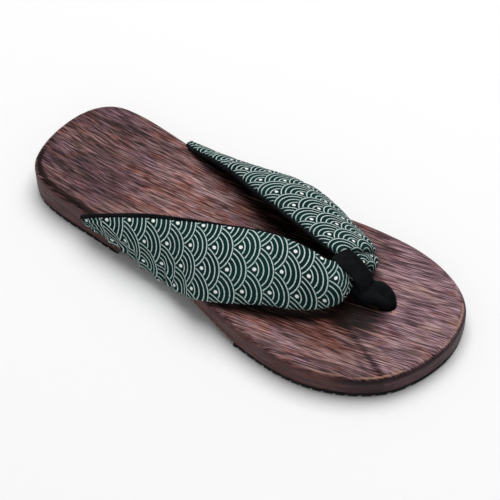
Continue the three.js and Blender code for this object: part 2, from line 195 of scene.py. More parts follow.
def shade(red, green, blue):
    """Linear colour of a screen colour given from 0 to 255"""
    linear = []
    for value in (red, green, blue):
        c = value / 255
        linear.append(c / 12.92 if c <= 0.04045 else ((c + 0.055) / 1.055) ** 2.4)
    return (*linear, 1.0)


# Numbers on surfaces

def soft_noise(u, v, seed):
    """Smooth noise from -1 to 1, about one hump a unit"""
    table = np.random.default_rng(seed).uniform(-1, 1, (256, 256))
    i, j = np.floor(u).astype(int), np.floor(v).astype(int)
    f, g = u - i, v - j
    f, g = f * f * (3 - 2 * f), g * g * (3 - 2 * g)

    def corner(a, b):
        return table[(i + a) % 256, (j + b) % 256]

    low = corner(0, 0) * (1 - f) + corner(1, 0) * f
    high = corner(0, 1) * (1 - f) + corner(1, 1) * f
    return low * (1 - g) + high * g


def smooth_step(x, low, high):
    t = np.clip((x - low) / (high - low), 0, 1)
    return t * t * (3 - 2 * t)


def curve_through(points, t):
    """Centripetal curve through points, at places t from 0 to 1"""
    points = np.array(points, float)
    count = len(points)
    points = np.vstack([2 * points[0] - points[1], points, 2 * points[-1] - points[-2]])
    place = np.clip(np.asarray(t, float) * (count - 1), 0, count - 1)
    k = np.minimum(place.astype(int), count - 2)
    w = (place - k)[:, None]
    a, b, c, d = points[k], points[k + 1], points[k + 2], points[k + 3]

    def span(p, q):
        return np.sqrt(np.maximum(np.linalg.norm(q - p, axis=1), 1e-6))[:, None]

    ab, bc, cd = span(a, b), span(b, c), span(c, d)
    leave = ((b - a) / ab - (c - a) / (ab + bc) + (c - b) / bc) * bc
    arrive = ((c - b) / bc - (d - b) / (bc + cd) + (d - c) / cd) * bc
    bend = -3 * b + 3 * c - 2 * leave - arrive
    return b + leave * w + bend * w**2 + (2 * b - 2 * c + leave + arrive) * w**3


def unit(vectors):
    return vectors / np.maximum(np.linalg.norm(vectors, axis=-1, keepdims=True), 1e-9)


def outline_points(count):
    """Board outline from the heel round the medial side to the toe and back, evenly spaced"""
    ring = [(HEEL_BACK, HEEL_BACK_Y)]
    ring += [(x, medial) for x, medial, _ in BOARD_SECTIONS]
    ring += [(TOE_TIP, TOE_TIP_Y)]
    ring += [(x, lateral) for x, _, lateral in reversed(BOARD_SECTIONS)]
    wrapped = ring[-3:] + ring + ring[:4]
    fine = curve_through(wrapped, np.linspace(0, 1, 8000))
    start = 3 / (len(wrapped) - 1)
    end = (3 + len(ring)) / (len(wrapped) - 1)
    t = np.linspace(0, 1, 8000)
    fine = fine[(t >= start) & (t < end)]
    length = np.concatenate([[0], np.cumsum(np.linalg.norm(np.diff(fine, axis=0), axis=1))])
    wanted = np.linspace(0, length[-1], count, endpoint=False)
    return np.stack([np.interp(wanted, length, fine[:, k]) for k in range(2)], axis=1)


def rim_distance(x, y):
    """Distance in plan from each place to the board's outline"""
    ring = outline_points(720)
    place = np.stack([x, y], axis=1)
    nearest = np.empty(len(place))
    for start in range(0, len(place), 4000):
        block = place[start:start + 4000]
        gap = np.linalg.norm(block[:, None] - ring[None], axis=2)
        nearest[start:start + 4000] = gap.min(axis=1)
    return nearest


def rim_height(x):
    return RIM_MID_HEIGHT + RIM_SLOPE * x


def grain_across(x, y):
    """Place across the grain, which drifts to the medial side ahead. Takes arrays or sockets"""
    ahead = x - GRAIN_BEND_FROM
    return y - GRAIN_LEAN * x - GRAIN_BEND * (ahead * ahead)


def patch_share(x, y, patch, power):
    """1 in the middle of an oval patch and 0 well outside; a greater power gives a flatter middle"""
    centre, half = patch
    return np.exp(-(((x - centre[0]) / half[0]) ** power + ((y - centre[1]) / half[1]) ** power))


# Modelling helpers

def clear_selection():
    if bpy.context.object and bpy.context.object.mode != "OBJECT":
        bpy.ops.object.mode_set(mode="OBJECT")
    bpy.ops.object.select_all(action="DESELECT")


def take(piece):
    """Makes a piece the only one selected, and the active one"""
    clear_selection()
    piece.hide_set(False)
    piece.select_set(True)
    bpy.context.view_layer.objects.active = piece
    return piece


def added(name):
    piece = bpy.context.object
    piece.name = piece.data.name = name
    return piece


def rest_in_place(piece):
    """Puts the object's own place into its mesh"""
    take(piece)
    bpy.ops.object.transform_apply(location=True, rotation=True, scale=True)
    return piece


def edit(piece, choose, kind="EDGE"):
    """Opens a piece in edit mode with the edges or faces selected that choose says yes to"""
    take(piece)
    bpy.ops.object.mode_set(mode="EDIT")
    bpy.ops.mesh.select_mode(type=kind)
    bpy.ops.mesh.select_all(action="DESELECT")
    mesh = bmesh.from_edit_mesh(piece.data)
    for item in (mesh.edges if kind == "EDGE" else mesh.faces):
        item.select_set(bool(choose(item)))
    mesh.select_flush_mode()
    bmesh.update_edit_mesh(piece.data)


def leave_edit():
    bpy.ops.object.mode_set(mode="OBJECT")


def apply_modifier(piece, kind, **settings):
    take(piece)
    modifier = piece.modifiers.new(kind.lower(), kind)
    for name, value in settings.items():
        setattr(modifier, name, value)
    bpy.ops.object.modifier_apply(modifier=modifier.name)


def cut(piece, *cutters):
    for cutter in cutters:
        apply_modifier(piece, "BOOLEAN", operation="DIFFERENCE", solver="EXACT", object=cutter)
        bpy.data.objects.remove(cutter)


def points_of(piece):
    """The mesh's points in millimetres"""
    flat = np.empty(len(piece.data.vertices) * 3)
    piece.data.vertices.foreach_get("co", flat)
    return flat.reshape(-1, 3) / MM


def normals_of(piece):
    flat = np.empty(len(piece.data.vertices) * 3)
    piece.data.vertices.foreach_get("normal", flat)
    return flat.reshape(-1, 3)


def set_points(piece, points):
    piece.data.vertices.foreach_set("co", (points * MM).ravel())
    piece.data.update()


def store(piece, name, values):
    """Keeps one number a point on the mesh, for its material"""
    layer = piece.data.attributes.new(name, "FLOAT", "POINT")
    layer.data.foreach_set("value", np.asarray(values, np.float32))


def mesh_piece(name, points, faces):
    """A new piece from points in millimetres"""
    mesh = bpy.data.meshes.new(name)
    mesh.from_pydata([tuple(p) for p in np.asarray(points) * MM], [], faces)
    mesh.update()
    piece = bpy.data.objects.new(name, mesh)
    bpy.context.scene.collection.objects.link(piece)
    take(piece)
    bpy.ops.object.shade_smooth()
    return piece


def ring_faces(rings, around, closed):
    """Quads between rings that each have the same number of points"""
    faces = []
    for row in range(rings if closed else rings - 1):
        ahead = (row + 1) % rings
        for k in range(around):
            after = (k + 1) % around
            faces.append((row * around + k, row * around + after, ahead * around + after, ahead * around + k))
    return faces


def tube_faces(rings, around):
    """Quads between the rings of an open tube, then a face over each of its two ends"""
    last = (rings - 1) * around
    ends = [tuple(range(around)), tuple(range(last + around - 1, last - 1, -1))]
    return ring_faces(rings, around, closed=False) + ends


# Materials

class Value:
    """A socket of a material. Arithmetic on it adds Math nodes."""

    def __init__(self, paint, socket):
        self.paint = paint
        self.socket = socket

    def math(self, operation, *others, **settings):
        return self.paint.math(operation, self, *others, **settings)

    def __add__(self, other):
        return self.math("ADD", other)

    __radd__ = __add__

    def __sub__(self, other):
        return self.math("SUBTRACT", other)

    def __rsub__(self, other):
        return self.paint.math("SUBTRACT", other, self)

    def __mul__(self, other):
        return self.math("MULTIPLY", other)

    __rmul__ = __mul__

    def __truediv__(self, other):
        return self.math("DIVIDE", other)

    def __lt__(self, other):
        return self.math("LESS_THAN", other)


class Paint:
    """A material and the nodes that make it"""

    def __init__(self, name):
        self.material = bpy.data.materials.new(name)
        self.material.use_nodes = True
        self.tree = self.material.node_tree
        self.surface = self.tree.nodes["Principled BSDF"]

    def node(self, kind, settings=None, inputs=None, output=0):
        """Adds a node, sets it up, fills its sockets and gives one output"""
        made = self.tree.nodes.new(kind)
        for name, value in (settings or {}).items():
            if name == "stops":
                self.set_stops(made.color_ramp.elements, value)
            else:
                setattr(made, name, value)
        for key, value in (inputs or {}).items():
            self.fill(made.inputs[key], value)
        return Value(self, made.outputs[output])

    def fill(self, socket, value):
        if isinstance(value, Value):
            self.tree.links.new(value.socket, socket)
        else:
            socket.default_value = value

    def set_stops(self, elements, stops):
        while len(elements) < len(stops):
            elements.new(1.0)
        for element, (place, colour) in zip(elements, stops):
            element.position = place
            element.color = colour

    def math(self, operation, *values, **settings):
        return self.node("ShaderNodeMath", {"operation": operation, **settings}, dict(enumerate(values)))

    def rise(self, value, low, high):
        """0 below low, 1 above high and smooth between; low may be the greater one"""
        settings = {"interpolation_type": "SMOOTHSTEP"}
        return self.node("ShaderNodeMapRange", settings, {0: value, 1: low, 2: high})

    def mix(self, factor, first, second, blend="MIX"):
        settings = {"data_type": "RGBA", "blend_type": blend}
        return self.node("ShaderNodeMix", settings, {0: factor, 6: first, 7: second}, output=2)

    def attribute(self, name):
        return self.node("ShaderNodeAttribute", {"attribute_name": name}, output=2)

    def object_place(self):
        """x, y and z in millimetres"""
        place = self.node("ShaderNodeTexCoord", output=3)
        split = self.node("ShaderNodeSeparateXYZ", None, {0: place}).socket.node
        return [Value(self, split.outputs[k]) * (1 / MM) for k in range(3)]

    def place(self, x, y, z):
        return self.node("ShaderNodeCombineXYZ", None, {0: x, 1: y, 2: z})

    def noise(self, x, y, z, detail=2.0, rough=0.5):
        inputs = {"Vector": self.place(x, y, z), "Scale": 1.0, "Detail": detail, "Roughness": rough}
        return self.node("ShaderNodeTexNoise", None, inputs)

    def finish(self, colour=None, roughness=None, height=None, depth=None, **fixed):
        """Fills the surface. height in the material's own units stands depth metres high"""
        if colour is not None:
            self.fill(self.surface.inputs["Base Color"], colour)
        if roughness is not None:
            self.fill(self.surface.inputs["Roughness"], roughness)
        if height is not None:
            normal = self.node("ShaderNodeBump", None, {"Height": height, "Distance": depth, "Strength": 1.0})
            self.fill(self.surface.inputs["Normal"], normal)
        for name, value in fixed.items():
            label = name.replace("_", " ").title().replace("Ior", "IOR")
            self.surface.inputs[label].default_value = value
        return self.material


def brushed_wood():
    """Burnt, brushed and stained light wood: dark pores, pale ribs, worn warm edges, with the painted shade
    and highlights marked on the board
    """
    paint = Paint("brushed_wood")
    x, y, z = paint.object_place()
    across = grain_across(x, y)
    side = paint.attribute("side")
    worn = paint.attribute("worn")
    lightness = paint.attribute("lightness")
    warmth = paint.attribute("warmth")

    wander = paint.noise(x / 38, across / 9, 3.0) - 0.5
    pores = paint.noise(x / 13, (across + wander * 3) / 0.5, z / 2, detail=1.0) - 0.5
    threads = paint.noise(x / 8, (across + wander * 3) / 0.32, z / 1.2, detail=1.0) - 0.5
    splits = paint.noise(x / 18, (across + wander * 2) / 0.8, z / 3 + 20, detail=0.0)
    streak = paint.noise(x / 26, (across + wander * 4) / 2.0, z / 6 + 7, detail=2.0) - 0.5
    ring = paint.noise(x / 110, (across + wander * 6) / 8, z / 14 + 11, detail=1.0) - 0.5
    cloud = paint.noise(x / 18, y / 8, z / 5 + 19, detail=4.0, rough=0.7)
    patch = paint.noise(x / 26, y / 12, z / 5 + 31, detail=4.0, rough=0.7)
    saw_marks = paint.noise(x / 22, y / 22, z / 1.1, detail=2.0) - 0.5

    strength = 1 - 0.9 * side
    crisp = paint.rise(threads + pores * 0.7, -0.16, 0.16) - 0.5
    tone = (pores * 0.5 + crisp * 0.4 + streak * 0.4 + ring * 0.3) * strength + 0.485
    tone = tone + lightness + (patch - 0.5) * 0.3 + (saw_marks * 0.4 - 0.06) * side
    stain = {"stops": [
        (0.0, shade(16, 7, 7)), (0.22, shade(48, 27, 26)), (0.42, shade(90, 60, 59)),
        (0.58, shade(124, 91, 91)), (0.78, shade(168, 134, 134)), (1.0, shade(212, 184, 182)),
    ]}
    base = paint.node("ShaderNodeValToRGB", stain, {0: tone})
    base = paint.mix(paint.rise(splits, 0.37, 0.25) * strength * 0.5, base, shade(38, 20, 18))
    base = paint.mix(paint.rise(splits, 0.64, 0.76) * strength * 0.4, base, shade(192, 152, 140))
    base = paint.mix(paint.rise(cloud + warmth, 0.46, 0.66) * 0.7, base, shade(176, 118, 84), "SOFT_LIGHT")
    base = paint.mix(paint.rise(patch - warmth, 0.44, 0.62) * 0.6, base, shade(86, 94, 138), "SOFT_LIGHT")
    ragged = paint.rise(pores * 0.35 + worn, 0.3, 0.7)
    base = paint.mix(ragged * 0.6, base, shade(184, 142, 118))
    # The darkest marks turn near black: char, and painted shade under the band and beside the thong
    char_and_shade = paint.rise(lightness, -0.3, -0.75)
    base = paint.mix(char_and_shade * 0.85, base, shade(34, 16, 11))
    roughness = 0.5 + 0.3 * pores
    height = (pores + streak + splits) * strength
    return paint.finish(base, roughness, height, 0.0003, specular_ior_level=0.14)


def rubber():
    """Matte black rubber with a fine grain"""
    paint = Paint("black_rubber")
    x, y, z = paint.object_place()
    grain = paint.noise(x / 0.5, y / 0.5, z / 0.5, detail=2.0)
    dust = paint.noise(x / 14, y / 14, z / 14, detail=4.0)
    colour = paint.mix(paint.rise(dust, 0.4, 0.75) * 0.5, shade(17, 16, 17), shade(42, 39, 39))
    return paint.finish(colour, 0.72 + 0.2 * grain, grain, 0.0001, specular_ior_level=0.25)


def print_mask(paint, ahead, across):
    """Overlapping scales of arcs. A scale covers the one ahead of it. Gives lines and dots, 0 or 1"""
    column = (across / PRINT_COLUMN).math("ROUND")
    best, offset = None, None
    for step in (-1, 0, 1):
        this = column + step
        aside = across - this * PRINT_COLUMN
        inside = (1 - aside * aside).math("MAXIMUM", 0.0)
        reach = inside.math("SQRT")
        odd = (this * 0.5).math("FRACT")
        first = (ahead - reach - odd).math("CEIL") + odd
        centre = first + (inside < 0.0001) * 9
        if best is None:
            best, offset = centre, aside
        else:
            nearer = centre < best
            offset = offset + (aside - offset) * nearer
            best = best.math("MINIMUM", centre)
    forward = ahead - best
    radius = (forward * forward + offset * offset).math("SQRT")
    lines = None
    for ring in PRINT_RINGS:
        line = paint.rise((radius - ring).math("ABSOLUTE"), PRINT_LINE * 1.15, PRINT_LINE * 0.7)
        lines = line if lines is None else lines.math("MAXIMUM", line)
    spot = forward - PRINT_DOT_AHEAD
    dot_distance = (spot * spot + offset * offset).math("SQRT")
    dot = paint.rise(dot_distance, PRINT_DOT * 1.1, PRINT_DOT * 0.8)
    return lines, dot


def cloth_weave(u, v):
    """Height of a plain weave"""
    turn = 2 * math.pi / WEAVE_PITCH
    warp = (u * turn).math("SINE")
    weft = (v * turn).math("SINE")
    return warp * weft


def printed_cloth():
    """Dark green cotton printed with pale arcs, with painted shade in the medial arm's creases"""
    paint = Paint("printed_cloth")
    uv = paint.node("ShaderNodeUVMap", {"uv_map": "print"})
    split = paint.node("ShaderNodeSeparateXYZ", None, {0: uv}).socket.node
    ahead, across = Value(paint, split.outputs[0]), Value(paint, split.outputs[1])
    u, v = ahead * CLOTH_SCALE, across * CLOTH_SCALE
    stray = paint.noise(u / 1.1, v / 1.1, 0.0, detail=2.0) - 0.5
    wobble = stray * 0.03
    lines, dot = print_mask(paint, ahead + wobble, across + wobble)
    worn = paint.noise(u / 0.7, v / 0.7, 5.0, detail=2.0)
    tone = paint.noise(u / 26, v / 26, 9.0, detail=2.0)
    ground = paint.mix(paint.rise(tone, 0.3, 0.7), shade(10, 40, 40), shade(18, 54, 52))
    ground = paint.mix(paint.rise(worn, 0.35, 0.75) * 0.4, ground, shade(6, 26, 27))
    ink = paint.mix(paint.rise(worn, 0.3, 0.75), shade(186, 210, 206), shade(228, 240, 236))
    colour = paint.mix(lines * (0.84 + 0.16 * worn), ground, ink)
    colour = paint.mix(dot, colour, shade(244, 248, 246))
    # Painted shade darkens the cloth in the medial arm's creases
    colour = paint.mix(paint.attribute("creased") * 0.85, colour, shade(6, 13, 14))
    height = cloth_weave(u, v) * 0.5 + lines * 0.25
    return paint.finish(colour, 0.9, height, 0.00007, specular_ior_level=0.08)


def black_cloth():
    """Black cloth with a short nap"""
    paint = Paint("black_cloth")
    x, y, z = paint.object_place()
    nap = paint.noise(x / 0.45, y / 0.45, z / 0.45, detail=3.0)
    tone = paint.noise(x / 7, y / 7, z / 7, detail=2.0)
    colour = paint.mix(paint.rise(tone, 0.3, 0.7), shade(9, 10, 12), shade(19, 22, 25))
    colour = paint.mix(paint.rise(nap, 0.55, 0.8) * 0.4, colour, shade(34, 38, 41))
    return paint.finish(colour, 0.92, nap, 0.00012, specular_ior_level=0.1)


def pale_floor():
    paint = Paint("pale_floor")
    return paint.finish(shade(250, 250, 250), 0.8)


# The board

def board_blank():
    """Slab with the board's outline, a sloping top and a rounded rim"""
    bpy.ops.mesh.primitive_circle_add(vertices=OUTLINE_POINTS, radius=1, fill_type="NGON")
    blank = added("board")
    ring = outline_points(OUTLINE_POINTS)
    set_points(blank, np.column_stack([ring, np.full(len(ring), BOARD_BOTTOM)]))
    edit(blank, lambda face: True, "FACE")
    lift = (0, 0, (RIM_MID_HEIGHT - BOARD_BOTTOM) * MM)
    bpy.ops.mesh.extrude_region_move(TRANSFORM_OT_translate={"value": lift})
    leave_edit()
    points = points_of(blank)
    top = points[:, 2] > BOARD_BOTTOM + 1
    points[top, 2] = rim_height(points[top, 0])
    set_points(blank, points)
    edit(blank, lambda face: True, "FACE")
    bpy.ops.mesh.normals_make_consistent(inside=False)
    leave_edit()
    middle = (BOARD_BOTTOM + 4) * MM
    edit(blank, lambda edge: min(v.co.z for v in edge.verts) > middle)
    bpy.ops.mesh.bevel(offset=RIM_RADIUS * MM, segments=6, profile=0.5, affect="EDGES")
    leave_edit()
    edit(blank, lambda edge: max(v.co.z for v in edge.verts) < (BOARD_BOTTOM + 0.1) * MM)
    bpy.ops.mesh.bevel(offset=FOOT_CHAMFER * MM, segments=2, profile=0.5, affect="EDGES")
    leave_edit()
    return blank


def arch_cutter():
    """Block with the arch's curve on top, longer than the board is wide"""
    bpy.ops.mesh.primitive_grid_add(x_subdivisions=40, y_subdivisions=1, size=1)
    cutter = added("arch_cutter")
    points = points_of(cutter) * MM
    low, high = ARCH_PROFILE[0][0], ARCH_PROFILE[-1][0]
    x = low + (points[:, 0] + 0.5) * (high - low)
    z = curve_height(x)
    set_points(cutter, np.column_stack([x, points[:, 1] * 160, z]))
    edit(cutter, lambda face: True, "FACE")
    bpy.ops.mesh.extrude_region_move(TRANSFORM_OT_translate={"value": (0, 0, -20 * MM)})
    bpy.ops.mesh.select_all(action="SELECT")
    bpy.ops.mesh.normals_make_consistent(inside=False)
    bpy.ops.transform.rotate(value=ARCH_TURN, orient_axis="Z", center_override=(0, 0, 0))
    leave_edit()
    return cutter


def curve_height(x):
    places, heights = zip(*ARCH_PROFILE)
    return np.interp(x, places, heights)


def hole_cutter():
    place = (HOLE_X * MM, HOLE_Y * MM, 0.01)
    bpy.ops.mesh.primitive_cylinder_add(vertices=48, radius=HOLE_RADIUS * MM, depth=0.06, location=place)
    return rest_in_place(added("hole_cutter"))


def past_toe_line(x, y):
    """Distance ahead of the line where the forefoot dish ends"""
    line = np.array(TOE_LINE_TO) - np.array(TOE_LINE_FROM)
    line /= np.linalg.norm(line)
    return (x - TOE_LINE_FROM[0]) * -line[1] + (y - TOE_LINE_FROM[1]) * line[0]


def carve_footbed(board):
    """Sinks the hollows of the footbed, and the low step at the end of the forefoot dish"""
    points = points_of(board)
    x, y, z = points.T
    drop = np.zeros(len(x))
    for centre_x, centre_y, length, width, depth in HOLLOWS:
        r2 = ((x - centre_x) / length) ** 2 + ((y - centre_y) / width) ** 2
        drop += depth * np.clip(1 - r2, 0, 1) ** 2
    past = past_toe_line(x, y)
    near_line = smooth_step(x, 60, 80) * smooth_step(-y, -8, 8) * smooth_step(y, -50, -34)
    drop += TOE_STEP * smooth_step(-past, -2, 2) * smooth_step(past, -26, -4) * near_line
    share = np.clip((z - SINKS_ABOVE) / (rim_height(x) - SINKS_ABOVE), 0, 1)
    points[:, 2] -= drop * share
    set_points(board, points)


def brush_relief(board):
    """Brushing leaves the hard ribs of the grain standing"""
    points, normals = points_of(board), normals_of(board)
    x, y = points[:, 0], points[:, 1]
    across = grain_across(x, y)
    wander = soft_noise(x / 40, across / 10, 3)
    rib = soft_noise(x / 30, (across + wander) / 2.6, 5)
    broad = soft_noise(x / 60, (across + 2 * wander) / 7, 8)
    top = smooth_step(normals[:, 2], 0.3, 0.9)
    depth = 0.11 * rib + 0.1 * broad
    set_points(board, points + normals * (depth * (0.25 + 0.75 * top))[:, None])


def shade_under_band(x, y):
    """How far a place on the footbed lies under an arm of the band, and so gets painted shade"""
    band_shade = np.zeros(len(x))
    for arm, side in ((LATERAL_ARM, -1), (MEDIAL_ARM, 1)):
        upper = np.array([row[UPPER] for row in arm], float)
        lower = np.array([row[LOWER] for row in arm], float)
        past_upper = side * (y - np.interp(x, upper[:, 0], upper[:, 1]))
        past_lower = side * (y - np.interp(x, lower[:, 0], lower[:, 1]))
        band_shade = np.maximum(band_shade, smooth_step(past_upper, -5, 5) * smooth_step(-past_lower, -7, 2))
    return band_shade * smooth_step(x, -78, -50) * smooth_step(-x, -84, -66)


def mark_board(board):
    """Keeps on the mesh where the wood is worn, burnt dark, paler or side wall, and where painted shade and
    highlights fall on it
    """
    points, normals = points_of(board), normals_of(board)
    x, y, z = points.T
    rim = rim_distance(x, y)
    top = smooth_step(normals[:, 2], 0.35, 0.85)
    store(board, "side", 1 - top)
    past = past_toe_line(x, y)
    ahead = smooth_step(past, -2, 2) * smooth_step(x, 66, 86)

    edge = np.exp(-((rim - 1.9) / 0.65) ** 2)
    toe_arc = smooth_step(x, 62, 88) * smooth_step(-y, -48, -30)
    patchy = 0.5 + 0.5 * soft_noise(x / 8, y / 8, 12)
    heel_line = smooth_step(-x, 62, 74) * smooth_step(-y, 0, 12) * 0.55
    worn = edge * (toe_arc + heel_line) * (0.35 + 0.65 * patchy) * smooth_step(z, 9, 13)
    store(board, "worn", np.clip(worn + 0.8 * patch_share(x, y, WEAR_AT_HOLE, 2), 0, 1))

    broken = smooth_step(soft_noise(x / 3, y / 3, 17), -0.75, -0.2)
    crease = np.exp(-((rim - 2.9) / 1.0) ** 2) * smooth_step(-x, 62, 74) * smooth_step(-y, 3, 12) * broken
    under_edge = np.exp(-((rim - 0.4) / 0.8) ** 2) * smooth_step(x, 84, 110) * smooth_step(z, 10, 13)
    # The toe's side wall turns darker and cooler: its end grain, and painted shade on that side
    end_grain_and_shade = (1 - top) * smooth_step(x, 92, 126)
    heel = smooth_step(-x, 50, 110) * top
    # The forefoot dish is darker and warmer: the stain's tone, and painted shade near the band
    dish = patch_share(x, y, DISH_PATCH, 4) * top * (1 - ahead)
    # Dark patch beside the thong: char, and painted shade
    char_and_shade_beside_thong = patch_share(x, y, DARK_BESIDE_THONG, 4) * top
    # Painted shade darkens the footbed under the arms of the band
    band_shade = shade_under_band(x, y) * top
    # Paler band along the lateral rim where the dish rises to it: a pale streak of the grain, and a painted
    # highlight
    pale_rim_and_highlight = np.exp(-((rim - 9) / 4) ** 2) * smooth_step(-y, 20, 32)
    pale_rim_and_highlight *= smooth_step(x, 5, 25) * smooth_step(-x, -92, -70)
    waist = patch_share(x, y, WAIST_PATCH, 2) * top
    at_line = np.exp(-(past / 1.3) ** 2) * smooth_step(x, 74, 84) * smooth_step(-y, 4, 12) * top
    lightness = 0.14 * waist + 0.16 * ahead + 0.16 * pale_rim_and_highlight * top - 0.08 * heel - 0.07 * dish
    lightness -= 0.62 * char_and_shade_beside_thong + 1.3 * crease + 0.2 * under_edge + 0.14 * end_grain_and_shade + 0.3 * at_line
    store(board, "lightness", lightness - 0.46 * band_shade)
    store(board, "warmth", 0.14 * dish + 0.05 * waist - 0.07 * ahead - 0.03 * heel - 0.3 * end_grain_and_shade)


def make_board():
    board = board_blank()
    cut(board, arch_cutter(), hole_cutter())
    apply_modifier(board, "REMESH", mode="VOXEL", voxel_size=BOARD_VOXEL * MM, use_smooth_shade=True)
    carve_footbed(board)
    brush_relief(board)
    mark_board(board)
    board.data.materials.append(brushed_wood())
    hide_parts("sole_board")
    return board


# The rubber sheets

def make_sheet(name, node, material):
    """A rubber sheet with shallow grooves across its underside"""
    take(frame["nodes"][node])
    bpy.ops.object.duplicate()
    sheet = added(name)
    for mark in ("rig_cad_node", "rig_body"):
        if mark in sheet:
            del sheet[mark]
    sheet.parent = None
    edit(sheet, lambda face: True, "FACE")
    bpy.ops.mesh.remove_doubles(threshold=0.01 * MM)
    bpy.ops.mesh.dissolve_limited(angle_limit=math.radians(0.5))
    leave_edit()
    low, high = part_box(node)
    pitch, width, depth = 6 * MM, 1.6 * MM, 0.9 * MM
    count = int((high.x - low.x) / pitch)
    centre = Vector((low.x + pitch / 2, (low.y + high.y) / 2, 0))
    bpy.ops.mesh.primitive_cube_add(size=1, location=centre)
    groove = added("groove")
    groove.scale = (width, high.y - low.y + 0.02, depth * 2)
    rest_in_place(groove)
    apply_modifier(groove, "ARRAY", count=count, use_relative_offset=False,
                   use_constant_offset=True, constant_offset_displace=(pitch, 0, 0))
    cut(sheet, groove)
    apply_modifier(sheet, "BEVEL", width=0.25 * MM, segments=2, limit_method="ANGLE",
                   angle_limit=math.radians(40))
    take(sheet)
    bpy.ops.object.shade_smooth_by_angle(angle=math.radians(35))
    sheet.data.materials.clear()
    sheet.data.materials.append(material)
    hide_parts(node)
    return sheet


# The band

def band_value(column, t):
    values = np.array([row[column] for row in BAND_ROWS], float)
    return np.interp(t * (len(values) - 1), np.arange(len(values)), values)


def band_grid():
    """Middle surface of the band: points, face normals and direction along, row by row"""
    t = np.linspace(0, 1, BAND_STEPS + 1)
    upper = [row[UPPER] for row in BAND_ROWS]
    lower = [row[LOWER] for row in BAND_ROWS]
    top, bottom = curve_through(upper, t), curve_through(lower, t)
    along = unit(unit(np.gradient(top, axis=0)) + unit(np.gradient(bottom, axis=0)))
    across = bottom - top
    outwards = unit(np.cross(across, along))
    v = np.linspace(0, 1, FACE_STEPS + 1)
    crown = band_value(BULGE, t)[:, None] * 4 * v * (1 - v)
    face = top[:, None] + across[:, None] * v[None, :, None] + outwards[:, None] * crown[..., None]
    share = np.arange(1, TUCK_STEPS + 1) / TUCK_STEPS
    tuck = band_value(TUCK, t)
    inward = np.where(bottom[:, 1] < BAND_FOLD[LOWER][1], 1.0, -1.0)
    sag = np.minimum(1.6, tuck * 0.3)
    under = np.repeat(bottom[:, None], TUCK_STEPS, axis=1)
    under[..., 1] += (inward * tuck)[:, None] * share
    under[..., 2] -= sag[:, None] * np.sin(np.pi * share)
    middle = np.concatenate([face, under], axis=1)
    normals = unit(np.cross(np.gradient(middle, axis=1), along[:, None]))
    return t, middle, normals, along


def print_places(t, face, along):
    """Where each point of the outer face lies on the flat printed cloth, in scales"""
    steps = np.linalg.norm(np.diff(face, axis=0), axis=2)
    length = np.vstack([np.zeros((1, face.shape[1])), np.cumsum(steps, axis=0)])
    sideways = np.diff(face, axis=1)
    slant = np.einsum("nmk,nk->nm", sideways, along)
    width = np.sqrt(np.maximum(np.linalg.norm(sideways, axis=2) ** 2 - slant**2, 0))
    down = np.hstack([np.zeros((len(t), 1)), np.cumsum(width, axis=1)])
    places = []
    for middle_row in (int(0.3 * BAND_STEPS), int(0.7 * BAND_STEPS)):
        lean = np.concatenate([[0], np.cumsum(slant[middle_row])])
        places.append(length - length[middle_row] + lean)
    lateral, medial = places
    past = np.maximum(lateral - PRINT_BEND_FROM, 0)
    bent_down = down + PRINT_BEND[0] * past + PRINT_BEND[1] * past**2

    def in_scales(ahead, column_down, arm):
        leant = ahead + arm["lean"] * (down - arm["turn_at"])
        columns = (column_down - arm["column_at"]) / arm["wide"]
        return leant / arm["long"] + arm["shift"], columns * PRINT_COLUMN

    lateral_ahead, lateral_across = in_scales(lateral, bent_down, LATERAL_PRINT)
    medial_ahead, medial_across = in_scales(medial, down, MEDIAL_PRINT)
    first = (t <= FOLD_PLACE)[:, None]
    return np.where(first, lateral_ahead, medial_ahead), np.where(first, lateral_across, medial_across)


def gathers(t, share):
    """How far the cloth stands out or sinks: gathers at the thong, ripples on the tucked edge"""
    from_fold = np.abs(t - FOLD_PLACE)[:, None]
    fan = np.sin(share[None] * 34 + 9 * from_fold) + 0.5 * np.sin(share[None] * 57 + 2)
    gather = 0.42 * fan * np.exp(-(from_fold / 0.035) ** 1.4)
    wave = np.sin(t * 225 + 1.5 * np.sin(t * 61))[:, None]
    ripple = 0.8 * wave * smooth_step(share, 0.35, 0.8)[None] * smooth_step(from_fold, 0.2, 0.28)
    pleats = 0.4 * np.sin(share * 23)[None] * smooth_step(from_fold, 0.4, 0.47)
    pucker = 0.12 * np.sin(t * 420)[:, None] * np.exp(-(share / 0.05) ** 2)[None]
    rest = 0.2 * soft_noise(t[:, None] * 40, share[None] * 4, 21)
    creased = medial_creases(t, share)
    return gather * (1 - creased) + ripple + pleats + pucker + rest - CREASE_DEPTH * creased


def medial_creases(t, share):
    """The two creases of the medial arm where the thong pulls it together, from 0 to 1"""
    past_fold = (t - FOLD_PLACE)[:, None]
    first, second = [
        np.exp(-((past_fold - start - slope * share[None]) / width) ** 2) for start, slope, width in CREASES]
    return np.maximum(first, 0.8 * second * smooth_step(share, 0.35, 0.6)[None])


